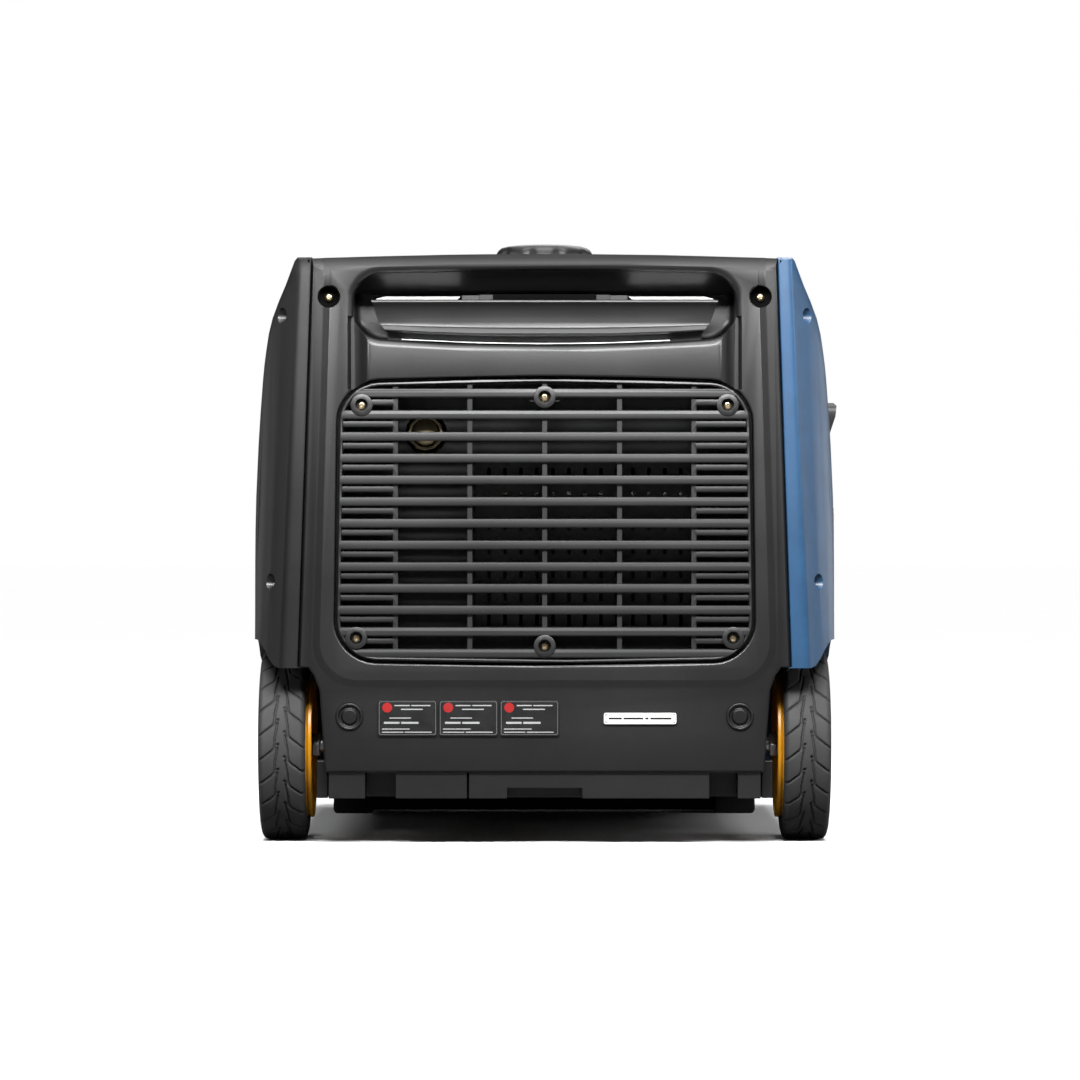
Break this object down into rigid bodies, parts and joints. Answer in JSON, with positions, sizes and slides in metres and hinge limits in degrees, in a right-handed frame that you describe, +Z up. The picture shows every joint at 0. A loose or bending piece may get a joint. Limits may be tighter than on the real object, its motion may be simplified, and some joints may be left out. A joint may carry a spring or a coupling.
{
  "type": "portable generator",
  "caption": "Closed-frame portable inverter generator on two wheels, with a louvred exhaust grille, lift and tow handles, and a side control panel.",
  "frame": {"origin": "on the floor under the middle of the whole object", "axes": "+Z up, -Y the exhaust end with the wheels, +Y the tow handle end, +X the control side (blue)"},
  "size_m": [0.4786, 0.6, 0.491],
  "materials": {
    "housing_black": "fine moulded grain",
    "trim_black": "satin",
    "panel_blue": "fine moulded grain",
    "accent_orange": "satin",
    "tyre_rubber": "matt",
    "soft_rubber": "matt",
    "steel": "satin",
    "aluminium": "as cast",
    "hot_steel": "heat-stained",
    "copper": "lacquered",
    "brass": "satin",
    "tank_plastic": "satin",
    "rope_fibre": "braided",
    "label_white": "satin",
    "label_red": "satin"
  },
  "bodies": {
    "chassis": {"rear_end_panel": "housing_black", "lower_plug_left": "trim_black", "lower_plug_right": "trim_black", "exhaust_grille": "trim_black", "rear_grab_handle": "housing_black", "top_cover": "housing_black", "front_end_panel": "housing_black", "right_side_panel": "panel_blue", "left_side_panel": "housing_black", "base_tray": "trim_black", "wheel_axle": "steel", "front_foot_left": "soft_rubber", "front_foot_right": "soft_rubber", "tow_handle_guide_left": "trim_black", "tow_handle_guide_right": "trim_black", "fuel_tank": "tank_plastic", "fuel_filler_neck": "tank_plastic", "control_panel": "trim_black", "outlet_small": "trim_black", "outlet_large": "trim_black", "recoil_housing": "housing_black", "engine_crankcase": "aluminium", "engine_cylinder": "aluminium", "cylinder_head": "aluminium", "spark_plug": "steel", "alternator_stator": "copper", "engine_mount_rear": "soft_rubber", "engine_mount_front": "soft_rubber", "muffler": "hot_steel", "muffler_heat_shield": "hot_steel", "exhaust_shroud": "trim_black", "exhaust_outlet": "hot_steel", "air_filter_box": "housing_black", "carburettor": "aluminium", "inverter_module": "aluminium", "battery": "trim_black"},
    "wheel_left": {"tyre_left": "tyre_rubber", "wheel_rim_left": "accent_orange"},
    "wheel_right": {"tyre_right": "tyre_rubber", "wheel_rim_right": "accent_orange"},
    "fuel_cap": {"fuel_cap": "trim_black"},
    "vent_lever": {"fuel_cap_vent_lever": "trim_black"},
    "tow_handle": {"tow_handle_frame": "steel", "tow_handle_grip": "soft_rubber"},
    "recoil_grip": {"recoil_grip": "housing_black", "starter_rope_lead": "rope_fibre"},
    "recoil_pulley": {"recoil_pulley": "trim_black", "starter_rope_coil": "rope_fibre"},
    "crank_train": {"crankshaft": "steel", "flywheel_rotor": "steel", "cooling_fan": "trim_black"},
    "engine_dial": {"engine_dial": "accent_orange"},
    "start_button": {"start_button": "accent_orange"},
    "breaker_ac": {"breaker_button_ac": "trim_black"},
    "breaker_dc": {"breaker_button_dc": "trim_black"},
    "eco_rocker": {"eco_rocker": "housing_black"},
    "outlet_cover_small": {"outlet_cover_small": "soft_rubber"},
    "outlet_cover_large": {"outlet_cover_large": "soft_rubber"},
    "service_door": {"service_door": "housing_black"},
    "door_latch": {"service_door_latch": "trim_black"}
  },
  "joints": [
    {"name": "wheel_left_spin", "type": "hinge", "parent": "chassis", "child": "wheel_left", "pos_m": [-0.21555, -0.215, 0.076], "axis": [1, 0, 0], "continuous": true},
    {"name": "wheel_right_spin", "type": "hinge", "parent": "chassis", "child": "wheel_right", "pos_m": [0.20205, -0.215, 0.076], "axis": [1, 0, 0], "continuous": true},
    {"name": "fuel_cap_turn", "type": "hinge", "parent": "chassis", "child": "fuel_cap", "pos_m": [-0.00675, 0, 0.48], "axis": [0, 0, 1], "range_deg": [0, 90]},
    {"name": "vent_lever_turn", "type": "hinge", "parent": "fuel_cap", "child": "vent_lever", "pos_m": [-0.00675, 0, 0.488], "axis": [0, 0, 1], "range_deg": [0, 90]},
    {"name": "tow_handle_slide", "type": "slide", "parent": "chassis", "child": "tow_handle", "axis": [0, 1, 0], "range_m": [0, 0.28]},
    {"name": "recoil_pull", "type": "slide", "parent": "chassis", "child": "recoil_grip", "axis": [1, 0, 0], "range_m": [0, 0.12], "stiffness_N_per_m": 30},
    {"name": "pulley_turn", "type": "hinge", "parent": "chassis", "child": "recoil_pulley", "pos_m": [0.12925, 0.01, 0.185], "axis": [1, 0, 0], "range_deg": [0, 175]},
    {"name": "crank_spin", "type": "hinge", "parent": "chassis", "child": "crank_train", "pos_m": [-0.00675, 0.01, 0.185], "axis": [1, 0, 0], "continuous": true},
    {"name": "dial_turn", "type": "hinge", "parent": "chassis", "child": "engine_dial", "pos_m": [0.21455, 0, 0.247], "axis": [1, 0, 0], "range_deg": [-45, 45]},
    {"name": "start_press", "type": "slide", "parent": "chassis", "child": "start_button", "axis": [-1, 0, 0], "range_m": [0, 0.003], "stiffness_N_per_m": 400},
    {"name": "breaker_ac_press", "type": "slide", "parent": "chassis", "child": "breaker_ac", "axis": [-1, 0, 0], "range_m": [0, 0.003], "stiffness_N_per_m": 400},
    {"name": "breaker_dc_press", "type": "slide", "parent": "chassis", "child": "breaker_dc", "axis": [-1, 0, 0], "range_m": [0, 0.003], "stiffness_N_per_m": 400},
    {"name": "eco_rock", "type": "hinge", "parent": "chassis", "child": "eco_rocker", "pos_m": [0.21325, -0.058, 0.345], "axis": [0, -1, 0], "range_deg": [0, 14]},
    {"name": "cover_small_lift", "type": "hinge", "parent": "chassis", "child": "outlet_cover_small", "pos_m": [0.21725, -0.086, 0.276], "axis": [0, -1, 0], "range_deg": [0, 100], "stiffness_Nm_per_rad": 0.02},
    {"name": "cover_large_lift", "type": "hinge", "parent": "chassis", "child": "outlet_cover_large", "pos_m": [0.21725, 0.098, 0.276], "axis": [0, -1, 0], "range_deg": [0, 100], "stiffness_Nm_per_rad": 0.02},
    {"name": "service_door_swing", "type": "hinge", "parent": "chassis", "child": "service_door", "pos_m": [-0.23975, 0.06, 0.275], "axis": [0, 0, -1], "range_deg": [0, 100]},
    {"name": "door_latch_turn", "type": "hinge", "parent": "service_door", "child": "door_latch", "pos_m": [-0.23455, -0.132, 0.275], "axis": [1, 0, 0], "range_deg": [0, 90]}
  ],
  "couplings": [
    {"joint": "pulley_turn", "follows": "recoil_pull", "rad_per_m": 25}
  ]
}
